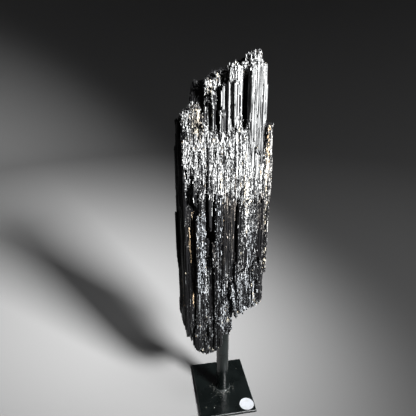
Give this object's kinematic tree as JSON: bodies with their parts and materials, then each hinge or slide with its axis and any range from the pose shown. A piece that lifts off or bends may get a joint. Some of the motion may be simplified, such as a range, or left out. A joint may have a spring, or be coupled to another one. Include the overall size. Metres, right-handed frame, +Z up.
{
  "type": "black tourmaline on a stand",
  "caption": "Tall bundle of striated black tourmaline crystals standing upright on a black steel post and base plate, with a blank round white label.",
  "frame": {"origin": "centre of the base plate's underside", "axes": "+Z up along the post and the crystals, +X along the plate's short side, +Y along its long side, away from the side that the stone's broad face looks to"},
  "size_m": [0.1019, 0.091, 0.4371],
  "materials": {
    "tourmaline": "natural, glassy on striated prism faces, frosted where etched",
    "black_paint": "satin",
    "white_paper": "matte"
  },
  "bodies": {
    "root": {"base_plate": "black_paint", "post": "black_paint", "round_label": "white_paper", "tourmaline": "tourmaline"}
  },
  "joints": []
}
